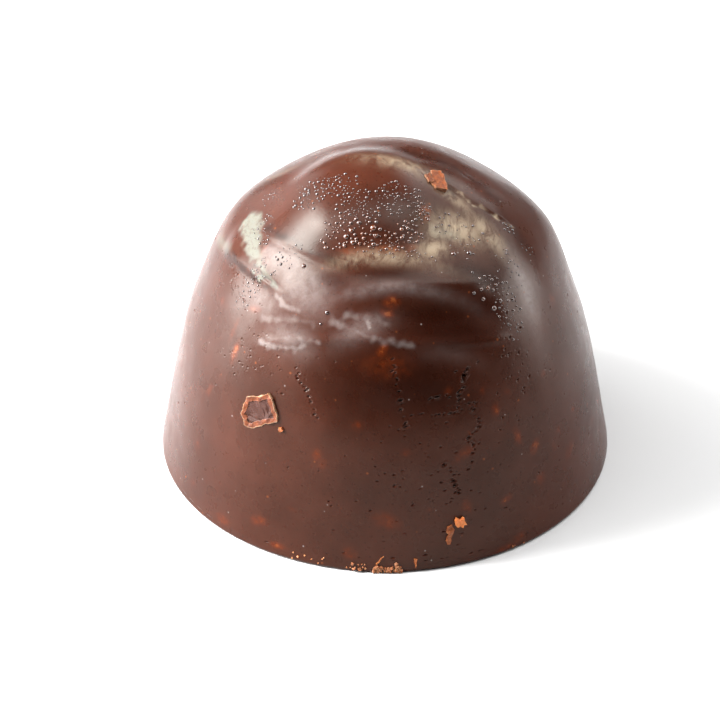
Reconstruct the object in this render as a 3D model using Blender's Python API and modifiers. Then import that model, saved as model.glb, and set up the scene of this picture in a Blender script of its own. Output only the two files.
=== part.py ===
# A moulded chocolate praline with chopped nuts: a flat base, a straight tapering wall and
# a rounded crown that is pressed into one turn of a soft swirl. The pieces of nut that
# stand out of the chocolate are fused to it, so the whole sweet is one solid.
# Units are metres, +Z is up, and the origin is the middle of the flat base. The front of
# the praline looks along -Y. An azimuth is in degrees, 0 at the front and 90 at +X.

import math
import random

import bmesh
import bpy
import numpy as np
from mathutils import Matrix, Vector

MM = 0.001

# Driving dimensions of the mould
BASE_RADIUS = 15.12 * MM
HEIGHT = 21.6 * MM
WALL_HEIGHT = 9.3 * MM
WALL_TAPER = 0.178
CROWN_ROUNDNESS = 2.12
EDGE_RADIUS = 0.25 * MM

# How finely the body is divided
SIDES = 120
WALL_RINGS = 6
CROWN_RINGS = 34
EDGE_RINGS = 2

# Rings of relief that run all the way round, as (height of the ring, half width, rise)
RINGS = {
    "waist": (12.0 * MM, 3.0 * MM, -0.25 * MM),
    "shoulder": (18.0 * MM, 2.4 * MM, 0.22 * MM),
}

# Ridges, grooves and steps of the swirl. Each runs along a path of (azimuth, distance from the
# axis in mm) and fades out at its two ends. A step is raised on the left of its path only.
STROKES = [
    {"name": "outer_crease", "kind": "step", "rise": 0.24 * MM, "width": 0.30 * MM, "path":
     [(-84, 10.7), (-78, 10.5), (-67.3, 10.2), (-57.2, 10.1), (-50.8, 10.15), (-43, 10.3)]},
    {"name": "swirl_step", "kind": "step", "rise": 0.12 * MM, "width": 0.25 * MM, "path":
     [(58, 1.6), (66, 3.2), (67, 4.6), (66, 5.5), (68.5, 6.4), (70, 7.3), (71.6, 8.0), (73.4, 8.6)]},
    {"name": "back_valley", "kind": "groove", "rise": -0.10 * MM, "width": 1.1 * MM, "path":
     [(170, 2.0), (125, 2.6), (108, 4.4), (93, 5.8), (85, 7.0), (84, 8.2)]},
    {"name": "front_lip", "kind": "ridge", "rise": 0.17 * MM, "width": 0.60 * MM, "path":
     [(-20, 9.0), (-4, 8.95), (8, 8.9), (20, 9.0), (32, 9.3), (44, 9.9)]},
    {"name": "lip_hollow", "kind": "groove", "rise": -0.18 * MM, "width": 0.8 * MM, "path":
     [(-20, 10.3), (-2, 10.1), (14, 10.2), (30, 10.5), (44, 11.0)]},
    {"name": "wall_rim", "kind": "ridge", "rise": 0.07 * MM, "width": 0.42 * MM, "path":
     [(-46, 12.1), (-34, 11.7), (-22, 11.3), (-4, 11.0), (12, 11.2), (30, 11.5), (46, 11.9)]},
]
STEP_REACH = 2.4 * MM
FADE_LENGTH = 2.0 * MM
PATH_POINTS = 60

# The mound that the swirl ends in. Its firmness gives it a flat top and a steep foot.
MOUND = {"azimuth": -34, "radius": 3.5 * MM, "width": 4.5 * MM, "rise": 0.95 * MM, "firmness": 4}

# Broad swellings and hollows of the crown: (azimuth, distance from the axis, half width, rise)
SWELLINGS = {
    "left_shoulder": (-102, 10.2 * MM, 3.3 * MM, 0.30 * MM),
    "back_left": (-128, 7.0 * MM, 3.2 * MM, -0.22 * MM),
    "back_right": (128, 7.0 * MM, 3.2 * MM, -0.22 * MM),
    "right_hollow": (44, 7.4 * MM, 2.4 * MM, -0.34 * MM),
    "right_lobe": (98, 10.6 * MM, 2.8 * MM, 0.36 * MM),
    "front_hollow": (14, 10.6 * MM, 2.4 * MM, -0.16 * MM),
}

# Pieces of nut: (azimuth, height, length, breadth, turn in the surface, how far it stands out)
NUTS = {
    "side_flake": (-36.9, 9.6 * MM, 2.5 * MM, 2.3 * MM, 12, 0.10 * MM),
    "side_crumb": (-29.5, 8.9 * MM, 0.4 * MM, 0.3 * MM, 0, 0.12 * MM),
    "crown_flake": (65.0, 21.07 * MM, 1.8 * MM, 0.9 * MM, 50, 0.17 * MM),
    "crown_chip": (58.1, 21.20 * MM, 0.8 * MM, 0.5 * MM, 50, 0.12 * MM),
    "low_chip": (19.3, 3.17 * MM, 0.75 * MM, 0.65 * MM, 20, 0.24 * MM),
    "low_sliver": (16.5, 2.43 * MM, 1.35 * MM, 0.45 * MM, 80, 0.12 * MM),
    "foot_sliver": (7.7, 0.68 * MM, 0.55 * MM, 0.2 * MM, 100, 0.10 * MM),
}
NUT_SIDES = 6
NUT_DEPTH = 0.9 * MM
NUT_JITTER = 0.22
NUT_FOOT = 0.5     # radius of a piece's foot and of its top, before it is drawn out to size
NUT_TOP = 0.42

# Crumbs that cling to the foot of the wall: (azimuth from, azimuth to, how many)
CRUMBS = {
    "front_strip": (-2.6, 4.3, 6),
    "middle": (-9.6, -4.0, 3),
    "left": (-24.0, -14.5, 3),
    "right": (26.0, 38.0, 3),
}
CRUMB_HEIGHT = (0.3 * MM, 0.5 * MM)
CRUMB_SIZE = (0.25 * MM, 0.45 * MM)
CRUMB_SHAPE = 0.7
CRUMB_DEPTH = 0.3 * MM
CRUMB_PROUD = 0.12 * MM
CRUMB_TURN = 30

CHOCOLATE = {"colour": (0.085, 0.034, 0.022, 1.0), "roughness": 0.38}
SEED = 7


def clear_scene():
    for thing in list(bpy.data.objects):
        bpy.data.objects.remove(thing, do_unlink=True)


def new_collection(name):
    collection = bpy.data.collections.new(name)
    bpy.context.scene.collection.children.link(collection)
    return collection


def chocolate_material():
    material = bpy.data.materials.new("chocolate")
    material.use_nodes = True
    shader = material.node_tree.nodes["Principled BSDF"]
    shader.inputs["Base Color"].default_value = CHOCOLATE["colour"]
    shader.inputs["Roughness"].default_value = CHOCOLATE["roughness"]
    shader.inputs["Metallic"].default_value = 0.0
    return material


def mould_radius(height):
    """Distance of the plain mould's surface from the axis, without any relief."""
    rise = max(0.0, (height - WALL_HEIGHT) / (HEIGHT - WALL_HEIGHT))
    closing = max(0.0, 1.0 - rise ** CROWN_ROUNDNESS) ** (1.0 / CROWN_ROUNDNESS)
    return (BASE_RADIUS - WALL_TAPER * height) * closing


def profile_points():
    """The turned outline from the top of the crown down its outer side to the base's middle."""
    points = []
    for i in range(CROWN_RINGS):
        angle = math.pi / 2 * (1 - i / CROWN_RINGS)
        height = WALL_HEIGHT + (HEIGHT - WALL_HEIGHT) * math.sin(angle)
        points.append((mould_radius(height), height))
    for i in range(WALL_RINGS):
        height = WALL_HEIGHT + (EDGE_RADIUS - WALL_HEIGHT) * i / WALL_RINGS
        points.append((mould_radius(height), height))
    edge_x = mould_radius(EDGE_RADIUS) - EDGE_RADIUS
    for i in range(EDGE_RINGS + 1):
        angle = math.pi / 2 * i / EDGE_RINGS
        points.append((edge_x + EDGE_RADIUS * math.cos(angle), EDGE_RADIUS * (1 - math.sin(angle))))
    points.append((0.0, 0.0))
    points[0] = (0.0, HEIGHT)
    return points


def turned_body(collection, material):
    """The plain mould form: the outline turned round Z by a Screw modifier."""
    points = profile_points()
    outline = bpy.data.meshes.new("praline_outline")
    outline.from_pydata(
        [(radius, 0.0, height) for radius, height in points],
        [(i, i + 1) for i in range(len(points) - 1)],
        [],
    )
    turned = bpy.data.objects.new("praline_outline", outline)
    collection.objects.link(turned)
    screw = turned.modifiers.new("turn", "SCREW")
    screw.axis = "Z"
    screw.angle = 2 * math.pi
    screw.steps = SIDES
    screw.render_steps = SIDES
    screw.use_merge_vertices = True
    screw.merge_threshold = 0.00001
    depsgraph = bpy.context.evaluated_depsgraph_get()
    mesh = bpy.data.meshes.new_from_object(turned.evaluated_get(depsgraph))
    bpy.data.objects.remove(turned, do_unlink=True)
    mesh.name = "praline"
    mesh.materials.append(material)
    body = bpy.data.objects.new("praline", mesh)
    collection.objects.link(body)
    return body


class CrownMap:
    """Lays the crown out flat: a point goes to its azimuth and its arc length from the top."""

    def __init__(self):
        angles = np.linspace(math.pi / 2, 0.0, 400)
        heights = WALL_HEIGHT + (HEIGHT - WALL_HEIGHT) * np.sin(angles)
        heights = np.append(heights, np.linspace(WALL_HEIGHT, 0.0, 50)[1:])
        radii = np.array([mould_radius(h) for h in heights])
        radii[0] = 0.0
        steps = np.hypot(np.diff(radii), np.diff(heights))
        self.heights = heights
        self.radii = radii
        self.arcs = np.append(0.0, np.cumsum(steps))

    def from_radius(self, azimuth, radius):
        arc = np.interp(radius, self.radii, self.arcs)
        return self.flat(azimuth, arc)

    def from_height(self, azimuth, height):
        arc = np.interp(-height, -self.heights, self.arcs)
        return self.flat(azimuth, arc)

    @staticmethod
    def flat(azimuth, arc):
        angle = math.radians(azimuth)
        return Vector((arc * math.sin(angle), -arc * math.cos(angle)))


def smooth_path(corners):
    """Points along a Catmull-Rom curve through the corners, evenly spread in the parameter."""
    ends = [2 * corners[0] - corners[1], *corners, 2 * corners[-1] - corners[-2]]
    path = []
    spans = len(corners) - 1
    for k in range(PATH_POINTS + 1):
        place = spans * k / PATH_POINTS
        span = min(int(place), spans - 1)
        t = place - span
        a, b, c, d = ends[span:span + 4]
        path.append(0.5 * (
            2 * b + (c - a) * t + (2 * a - 5 * b + 4 * c - d) * t ** 2
            + (3 * b - a - 3 * c + d) * t ** 3
        ))
    return path


def nearest_on_path(path, point):
    """Signed distance of the point from the path, positive on its left, and its run to the nearer end."""
    best = (1e9, 0.0, 0.0)
    run = 0.0
    length = sum((path[i + 1] - path[i]).length for i in range(len(path) - 1))
    for start, end in zip(path, path[1:]):
        along = end - start
        size = along.length
        t = max(0.0, min(1.0, (point - start).dot(along) / size ** 2))
        away = point - (start + along * t)
        if away.length < best[0]:
            side = 1.0 if along.x * away.y - along.y * away.x > 0 else -1.0
            here = run + size * t
            best = (away.length, side, min(here, length - here))
        run += size
    return best[0] * best[1], best[2]


def stroke_rise(stroke, path, point):
    """How far one stroke lifts the surface at a point of the flat crown map."""
    reach = STEP_REACH if stroke["kind"] == "step" else stroke["width"]
    if min((point - p).length for p in path[::6]) > 3 * reach + FADE_LENGTH:
        return 0.0
    distance, end_run = nearest_on_path(path, point)
    fade = min(1.0, end_run / FADE_LENGTH)
    fade = fade * fade * (3 - 2 * fade)
    if stroke["kind"] == "step":
        up = 0.5 + 0.5 * math.tanh(distance / stroke["width"])
        return stroke["rise"] * fade * up * math.exp(-((max(distance, 0.0) / STEP_REACH) ** 2))
    return stroke["rise"] * fade * math.exp(-((distance / stroke["width"]) ** 2))


def press_swirl(body):
    """Moves the turned surface in and out along its own normals to give it the swirl."""
    crown = CrownMap()
    paths = [smooth_path([crown.from_radius(a, r * MM) for a, r in s["path"]]) for s in STROKES]
    mesh = body.data
    moves = []
    for vertex in mesh.vertices:
        x, y, height = vertex.co
        if height < 2 * EDGE_RADIUS:
            moves.append(0.0)
            continue
        azimuth = math.degrees(math.atan2(x, -y))
        point = crown.from_height(azimuth, height)
        rise = sum(r * math.exp(-(((height - h) / w) ** 2)) for h, w, r in RINGS.values())
        for azimuth_there, radius, width, swell in SWELLINGS.values():
            away = (point - crown.from_radius(azimuth_there, radius)).length
            rise += swell * math.exp(-((away / width) ** 2))
        away = (point - crown.from_radius(MOUND["azimuth"], MOUND["radius"])).length
        rise += MOUND["rise"] * math.exp(-((away / MOUND["width"]) ** MOUND["firmness"]))
        rise += sum(stroke_rise(s, p, point) for s, p in zip(STROKES, paths))
        moves.append(rise)
    normals = [vertex.normal.copy() for vertex in mesh.vertices]
    for vertex, normal, rise in zip(mesh.vertices, normals, moves):
        vertex.co += normal * rise
    mesh.update()


def surface_place(body, azimuth, height):
    """The point of the pressed surface that lies over a place on the plain mould, and its normal."""
    angle = math.radians(azimuth)
    radius = mould_radius(height)
    start = Vector((0.0, 0.0, min(height, WALL_HEIGHT)))
    aim = Vector((radius * math.sin(angle), -radius * math.cos(angle), height)) - start
    _, place, normal, _ = body.ray_cast(start, aim.normalized())
    return place, normal


def chip(name, collection, material, draw, place, normal, length, breadth, turn, proud, depth):
    """One irregular piece of nut, sunk into the chocolate with its top standing out."""
    shape = bmesh.new()
    bmesh.ops.create_cone(
        shape, cap_ends=True, segments=NUT_SIDES, radius1=NUT_FOOT, radius2=NUT_TOP, depth=1.0,
    )
    for vertex in shape.verts:
        vertex.co.x *= length * (1 + draw.uniform(-NUT_JITTER, NUT_JITTER))
        vertex.co.y *= breadth * (1 + draw.uniform(-NUT_JITTER, NUT_JITTER))
        vertex.co.z *= depth
        vertex.co.z += proud - depth / 2
    bmesh.ops.triangulate(shape, faces=shape.faces)
    mesh = bpy.data.meshes.new(name)
    shape.to_mesh(mesh)
    shape.free()
    mesh.materials.append(material)
    piece = bpy.data.objects.new(name, mesh)
    collection.objects.link(piece)
    outward = normal.to_track_quat("Z", "Y").to_matrix().to_4x4()
    piece.matrix_world = Matrix.Translation(place) @ outward @ Matrix.Rotation(math.radians(turn), 4, "Z")
    return piece


def add_nuts(body, collection, material):
    draw = random.Random(SEED)
    for name, (azimuth, height, length, breadth, turn, proud) in NUTS.items():
        place, normal = surface_place(body, azimuth, height)
        chip(name, collection, material, draw, place, normal, length, breadth, turn, proud, NUT_DEPTH)
    for group, (start, end, count) in CRUMBS.items():
        for i in range(count):
            azimuth = start + (end - start) * (i + draw.uniform(0.1, 0.9)) / count
            place, normal = surface_place(body, azimuth, draw.uniform(*CRUMB_HEIGHT))
            size = draw.uniform(*CRUMB_SIZE)
            chip(f"{group}_{i}", collection, material, draw, place, normal, size, size * CRUMB_SHAPE,
                 draw.uniform(-CRUMB_TURN, CRUMB_TURN), CRUMB_PROUD, CRUMB_DEPTH)


def fuse(body, pieces):
    """One Boolean union joins the pieces of nut to the chocolate."""
    union = body.modifiers.new("nuts", "BOOLEAN")
    union.operation = "UNION"
    union.operand_type = "COLLECTION"
    union.collection = pieces
    union.solver = "EXACT"
    bpy.context.view_layer.update()
    depsgraph = bpy.context.evaluated_depsgraph_get()
    fused = bpy.data.meshes.new_from_object(body.evaluated_get(depsgraph))
    body.modifiers.clear()
    body.data = fused
    fused.name = "praline"
    for piece in list(pieces.objects):
        bpy.data.objects.remove(piece, do_unlink=True)
    bpy.data.collections.remove(pieces)


def main():
    clear_scene()
    material = chocolate_material()
    praline = new_collection("chocolate_praline")
    nuts = new_collection("nut_pieces")
    body = turned_body(praline, material)
    press_swirl(body)
    bpy.context.view_layer.update()
    add_nuts(body, nuts, material)
    fuse(body, nuts)
    body.data.shade_smooth()
    body.data.set_sharp_from_angle(angle=math.radians(35))


main()
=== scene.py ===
# Looks for one moulded chocolate praline with chopped nut in it.
# Lengths in the dictionaries are millimetres. A place on the praline is given by its azimuth
# in degrees, 0 at the front and 90 at +X, and by its height or its distance from the axis.
import math
import random

import bmesh
import bpy
import numpy as np
from mathutils import Matrix, Vector, noise
from mathutils.bvhtree import BVHTree


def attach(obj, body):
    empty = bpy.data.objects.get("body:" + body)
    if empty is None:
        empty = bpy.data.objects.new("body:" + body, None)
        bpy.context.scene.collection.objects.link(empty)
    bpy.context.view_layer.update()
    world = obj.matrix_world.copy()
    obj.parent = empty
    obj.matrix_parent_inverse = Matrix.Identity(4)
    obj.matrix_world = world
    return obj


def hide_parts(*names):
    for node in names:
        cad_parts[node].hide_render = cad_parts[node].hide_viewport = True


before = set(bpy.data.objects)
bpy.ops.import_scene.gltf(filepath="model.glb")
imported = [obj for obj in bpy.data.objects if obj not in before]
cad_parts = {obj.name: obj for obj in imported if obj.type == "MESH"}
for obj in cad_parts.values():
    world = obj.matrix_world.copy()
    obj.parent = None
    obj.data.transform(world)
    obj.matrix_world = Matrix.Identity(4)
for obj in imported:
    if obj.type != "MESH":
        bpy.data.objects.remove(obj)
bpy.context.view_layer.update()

mm = 0.001
body = "root"
print("frame loaded:", ", ".join(sorted(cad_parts)))

# The plain form that the mould gives, before any relief
mould = {
    "baseRadius": 15.12,
    "height": 21.6,
    "wallHeight": 9.3,      # where the straight wall turns into the crown
    "taper": 0.178,         # how much narrower the wall gets for each mm of height
    "roundness": 2.12,
    "edge": 0.25,           # radius of the base's edge
}


def mouldRadius(height):
    rise = np.clip((height - mould["wallHeight"]) / (mould["height"] - mould["wallHeight"]), 0.0, 1.0)
    closing = (1.0 - rise ** mould["roundness"]) ** (1.0 / mould["roundness"])
    return (mould["baseRadius"] - mould["taper"] * height) * closing


# The outline as tables, from the top of the crown down the wall to the middle of the base.
# polar says how far round a ball each place sits, so that a ball can be drawn out to the form.
outlineDetail = {"crown": 800, "wall": 120, "edge": 40, "base": 60, "baseShare": 0.10, "edgeShare": 3.0}


def mouldOutline():
    turn = np.linspace(0, math.pi / 2, outlineDetail["crown"])
    crownHeights = mould["wallHeight"] + (mould["height"] - mould["wallHeight"]) * np.cos(turn)
    wallHeights = np.linspace(mould["wallHeight"], mould["edge"], outlineDetail["wall"])[1:]
    heights = np.append(crownHeights, wallHeights)
    radii = mouldRadius(heights)
    radii[0] = 0.0
    shares = np.ones(len(heights))
    bend = np.linspace(0, math.pi / 2, outlineDetail["edge"])[1:]
    inner = radii[-1] - mould["edge"]
    radii = np.append(radii, inner + mould["edge"] * np.cos(bend))
    heights = np.append(heights, mould["edge"] * (1 - np.sin(bend)))
    shares = np.append(shares, np.full(len(bend), outlineDetail["edgeShare"]))
    flat = np.linspace(inner, 0, outlineDetail["base"])[1:]
    radii = np.append(radii, flat)
    heights = np.append(heights, np.zeros(len(flat)))
    shares = np.append(shares, np.full(len(flat), outlineDetail["baseShare"]))
    steps = np.hypot(np.diff(radii), np.diff(heights))
    arcs = np.append(0, np.cumsum(steps))
    area = np.append(0, np.cumsum(steps * (radii[1:] + radii[:-1]) * shares[1:]))
    polar = np.arccos(1 - 2 * area / area[-1])
    outX = -np.gradient(heights, arcs)
    outZ = np.gradient(radii, arcs)
    size = np.hypot(outX, outZ)
    return {"radii": radii, "heights": heights, "arcs": arcs, "polar": polar,
            "outX": outX / size, "outZ": outZ / size}


outline = mouldOutline()


def onMould(directions):
    # where points of a ball go on the mould, in mm, with the way out of the surface there
    flat = np.hypot(directions[:, 0], directions[:, 1])
    polar = np.arctan2(flat, directions[:, 2])
    around = directions[:, :2] / np.maximum(flat, 1e-9)[:, None]
    arc = np.interp(polar, outline["polar"], outline["arcs"])
    radii = np.interp(arc, outline["arcs"], outline["radii"])
    heights = np.interp(arc, outline["arcs"], outline["heights"])
    outX = np.interp(arc, outline["arcs"], outline["outX"])
    outZ = np.interp(arc, outline["arcs"], outline["outZ"])
    points = np.column_stack([around * radii[:, None], heights])
    normals = np.column_stack([around * outX[:, None], outZ])
    return points, normals / np.linalg.norm(normals, axis=1)[:, None]


def spot(azimuth, radius=None, height=None):
    # a place on the plain mould: by distance from the axis on the crown, or else by height
    if height is None:
        crown = len(outline["radii"][outline["heights"] > mould["wallHeight"]])
        height = np.interp(radius, outline["radii"][:crown], outline["heights"][:crown])
    radius = float(mouldRadius(height))
    angle = math.radians(azimuth)
    here = np.array([radius * math.sin(angle), -radius * math.cos(angle), height])
    step = 0.01
    lean = (float(mouldRadius(height + step)) - float(mouldRadius(height - step))) / (2 * step)
    out = np.array([math.sin(angle), -math.cos(angle), -lean])
    return here, out / np.linalg.norm(out)


# Rings of relief that run all the way round: (height, half width, rise)
rings = {"waist": (12.0, 3.0, -0.25), "shoulder": (18.0, 2.4, 0.22)}

# The swirl's mound on the crown: a high firmness gives it a flat top and a steep foot
mound = {"azimuth": -34, "radius": 3.5, "width": 4.5, "rise": 0.95, "firmness": 4}

# Broad swellings and hollows of the crown: (azimuth, radius, half width, rise)
swellings = {
    "leftShoulder": (-102, 10.2, 3.3, 0.30),
    "backLeft": (-128, 7.0, 3.2, -0.22),
    "backRight": (128, 7.0, 3.2, -0.22),
    "rightHollow": (44, 7.4, 2.4, -0.34),
    "rightLobe": (98, 10.6, 2.8, 0.36),
    "frontHollow": (14, 10.6, 2.4, -0.16),
}

# The swirl's ridges and grooves, each along a path of (azimuth, radius) on the crown.
# A step is raised on the left of its path only.
strokes = {
    "ringGroove": {"kind": "groove", "rise": -0.05, "width": 0.22, "path":
                   [(-80, 8.8), (-72, 8.62), (-64, 8.55), (-56, 8.4), (-49, 8.25), (-40, 8.2), (-31, 8.25),
                    (-22, 8.3), (-12, 8.5)]},
    "outerCrease": {"kind": "step", "rise": 0.24, "width": 0.27, "path":
                    [(-84, 10.7), (-78, 10.5), (-67.3, 10.2), (-57.2, 10.1), (-50.8, 10.15), (-43, 10.3)]},
    "innerCrease": {"kind": "groove", "rise": -0.10, "width": 0.12, "path":
                    [(-60, 9.65), (-57, 9.7), (-51.7, 9.8), (-47, 9.85), (-43, 9.9), (-39, 9.95)]},
    "swirlStep": {"kind": "step", "rise": 0.10, "width": 0.10, "path":
                  [(58, 1.6), (66, 3.2), (67, 4.6), (66, 5.5), (68.5, 6.4), (70, 7.3), (71.6, 8.0),
                   (73.4, 8.6)]},
    "stepCrack": {"kind": "groove", "rise": -0.12, "width": 0.09, "path":
                  [(67.5, 6.0), (69.0, 6.8), (70.5, 7.5), (72.0, 8.1), (73.8, 8.7)]},
    "backValley": {"kind": "groove", "rise": -0.10, "width": 1.1, "path":
                   [(170, 2.0), (125, 2.6), (108, 4.4), (93, 5.8), (85, 7.0), (84, 8.2)]},
    "lobeNotch": {"kind": "groove", "rise": -0.08, "width": 0.34, "path":
                  [(108, 4.7), (100, 5.1), (94, 5.5), (90, 6.2)]},
    "frontLip": {"kind": "ridge", "rise": 0.17, "width": 0.60, "path":
                 [(-20, 9.0), (-4, 8.95), (8, 8.9), (20, 9.0), (32, 9.3), (44, 9.9)]},
    "lipHollow": {"kind": "groove", "rise": -0.18, "width": 0.8, "path":
                  [(-20, 10.3), (-2, 10.1), (14, 10.2), (30, 10.5), (44, 11.0)]},
    "wallRim": {"kind": "ridge", "rise": 0.07, "width": 0.35, "path":
                [(-46, 12.1), (-34, 11.7), (-22, 11.3), (-4, 11.0), (12, 11.2), (30, 11.5), (46, 11.9)]},
}
strokeShape = {"stepReach": 2.4, "fade": 2.0, "points": 40}

# Fine ripples where the chocolate was smeared, along paths of (azimuth, height)
ripples = {
    "streakLow": {"rise": 0.035, "width": 0.16, "path":
                  [(-42.1, 13.7), (-37.4, 13.8), (-31.1, 14.0), (-26.6, 14.4)]},
    "streakUp": {"rise": 0.030, "width": 0.18, "path":
                 [(-33.9, 14.5), (-28.1, 14.7), (-22.6, 14.8)]},
    "rightLow": {"rise": 0.030, "width": 0.24, "path":
                 [(-18.2, 16.1), (-12.0, 15.8), (-4.0, 15.4), (8.4, 15.0)]},
    "rightTop": {"rise": 0.020, "width": 0.24, "path":
                 [(-13.6, 16.5), (-4.4, 16.5), (-0.3, 16.3)]},
}

waviness = {"size": 4.5, "rise": 0.07, "fineSize": 1.1, "fineRise": 0.012}


def smoothPath(corners):
    # evenly stepped Catmull-Rom curve through the corners
    corners = np.array(corners)
    ends = np.vstack([2 * corners[0] - corners[1], corners, 2 * corners[-1] - corners[-2]])
    spans = len(corners) - 1
    path = []
    for place in np.linspace(0, spans, strokeShape["points"]):
        span = min(int(place), spans - 1)
        t = place - span
        a, b, c, d = ends[span:span + 4]
        path.append(0.5 * (2 * b + (c - a) * t + (2 * a - 5 * b + 4 * c - d) * t ** 2
                           + (3 * b - a - 3 * c + d) * t ** 3))
    return np.array(path)


def strokeLine(path, byHeight=False):
    # the path of (azimuth, radius or height) as points on the mould
    corners = [spot(a, height=v)[0] if byHeight else spot(a, radius=v)[0] for a, v in path]
    return smoothPath(corners)


def besideLine(points, normals, line, reach):
    # distance to the line, positive on its left seen from outside, and the run to its nearer end
    near = np.full(len(points), 1e9)
    run = np.zeros(len(points))
    middle = line.mean(axis=0)
    far = np.linalg.norm(line - middle, axis=1).max() + reach
    inside = np.flatnonzero(np.linalg.norm(points - middle, axis=1) < far)
    here = points[inside]
    outward = normals[inside]
    best = np.full(len(here), 1e9)
    signed = np.full(len(here), 1e9)
    along = np.zeros(len(here))
    sizes = np.linalg.norm(np.diff(line, axis=0), axis=1)
    whole = sizes.sum()
    start = 0.0
    for a, b, size in zip(line, line[1:], sizes):
        way = (b - a) / size
        t = np.clip((here - a) @ way, 0, size)
        away = here - (a + t[:, None] * way)
        distance = np.linalg.norm(away, axis=1)
        nearer = distance < best
        left = np.einsum("ij,ij->i", np.cross(outward, way), away) > 0
        best = np.where(nearer, distance, best)
        signed = np.where(nearer, np.where(left, distance, -distance), signed)
        along = np.where(nearer, np.minimum(start + t, whole - start - t), along)
        start += size
    near[inside] = signed
    run[inside] = along
    return near, run


def easeIn(run, length):
    t = np.clip(run / length, 0, 1)
    return t * t * (3 - 2 * t)


def strokeRise(points, normals, stroke, byHeight=False):
    width = stroke["width"]
    step = stroke.get("kind") == "step"
    reach = 3 * (strokeShape["stepReach"] if step else width)
    away, run = besideLine(points, normals, strokeLine(stroke["path"], byHeight), reach)
    fade = easeIn(run, strokeShape["fade"])
    if step:
        raised = 0.5 + 0.5 * np.tanh(np.clip(away / width, -20, 20))
        return stroke["rise"] * fade * raised * np.exp(-(np.maximum(away, 0) / strokeShape["stepReach"]) ** 2)
    return stroke["rise"] * fade * np.exp(-(away / width) ** 2)


def relief(points, normals):
    # how far the surface stands out from the plain mould, in mm
    height = points[:, 2]
    rise = sum(r * np.exp(-((height - h) / w) ** 2) for h, w, r in rings.values())
    for azimuth, radius, width, swell in swellings.values():
        away = np.linalg.norm(points - spot(azimuth, radius=radius)[0], axis=1)
        rise += swell * np.exp(-(away / width) ** 2)
    away = np.linalg.norm(points - spot(mound["azimuth"], radius=mound["radius"])[0], axis=1)
    rise += mound["rise"] * np.exp(-(away / mound["width"]) ** mound["firmness"])
    for stroke in strokes.values():
        rise += strokeRise(points, normals, stroke)
    for ripple in ripples.values():
        rise += strokeRise(points, normals, ripple, byHeight=True)
    broad = [noise.noise(Vector(p) / waviness["size"]) for p in points]
    fine = [noise.noise(Vector(p) / waviness["fineSize"]) for p in points]
    rise += waviness["rise"] * np.array(broad) + waviness["fineRise"] * np.array(fine)
    return rise * easeIn(height - mould["edge"], 2 * mould["edge"])


# Pits left by bubbles. A chain runs along (azimuth, height) points and a patch spreads about one.
pitting = {
    "seed": 11,
    "depth": 0.55,                  # depth for each mm of width
    "depthShare": (0.6, 1.0),
    "long": (1.0, 1.7),             # how far a pit is stretched one way and narrowed the other
    "short": (0.5, 0.9),
    "tilt": 0.9,                    # the most that its long way leans, in radians
    "rim": {"rise": 0.12, "at": 1.25, "width": 0.3},
    "stray": (0.7, 0.1),            # how far a pit is off its chain, in azimuth and in height
    "patchHeights": (0.8, 16.5),
    "chains": {
        "centreRun": {"count": 16, "width": (0.14, 0.34), "path":
                      [(2.1, 14.3), (2.6, 13.6), (3.6, 13.0), (4.3, 11.4), (5.5, 9.9)]},
        "rightRun": {"count": 15, "width": (0.15, 0.34), "path":
                     [(29.4, 13.5), (24.4, 13.0), (23.5, 12.4), (21.9, 11.6), (21.1, 10.6)]},
        "crossRun": {"count": 14, "width": (0.12, 0.27), "path":
                     [(8.7, 11.0), (14.1, 10.7), (16.8, 10.6), (20.5, 10.7), (23.9, 11.0), (27.9, 10.8)]},
        "outerRun": {"count": 20, "width": (0.14, 0.32), "path":
                     [(25.4, 10.8), (26.6, 10.0), (26.8, 9.4), (24.7, 9.1), (23.1, 8.7), (24.4, 7.9),
                      (23.1, 6.6)]},
        "lowRun": {"count": 15, "width": (0.14, 0.32), "path":
                   [(16.1, 7.5), (18.2, 6.7), (18.9, 5.9), (19.2, 5.5), (18.7, 5.0), (15.6, 4.5)]},
        "upperRun": {"count": 6, "width": (0.16, 0.34), "path": [(11.6, 11.8), (15.9, 11.9), (18.6, 11.7)]},
        "leftRun": {"count": 15, "width": (0.12, 0.26), "path":
                    [(-28.2, 13.1), (-25.3, 12.2), (-23.1, 11.8), (-21.8, 11.2), (-19.0, 10.1)]},
    },
    "patches": {
        "leftCrease": {"count": 80, "width": (0.08, 0.20), "at": (-61, 15.6), "spread": (8.0, 0.45)},
        "leftWall": {"count": 110, "width": (0.07, 0.18), "at": (-38, 12.6), "spread": (9.0, 0.9)},
        "rightShoulder": {"count": 60, "width": (0.08, 0.22), "at": (42, 12.0), "spread": (6.0, 1.8)},
        "lowRight": {"count": 100, "width": (0.07, 0.22), "at": (26, 5.8), "spread": (12.0, 3.0)},
        "lowFront": {"count": 90, "width": (0.07, 0.20), "at": (0, 4.4), "spread": (15.0, 2.6)},
        "midFront": {"count": 60, "width": (0.07, 0.20), "at": (10, 8.6), "spread": (12.0, 2.0)},
        "lowLeft": {"count": 24, "width": (0.07, 0.15), "at": (-26, 6.0), "spread": (12.0, 3.0)},
    },
    "around": {"count": 90, "width": (0.08, 0.26), "azimuths": (60, 300), "heights": (1.0, 15.5)},
}


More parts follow.
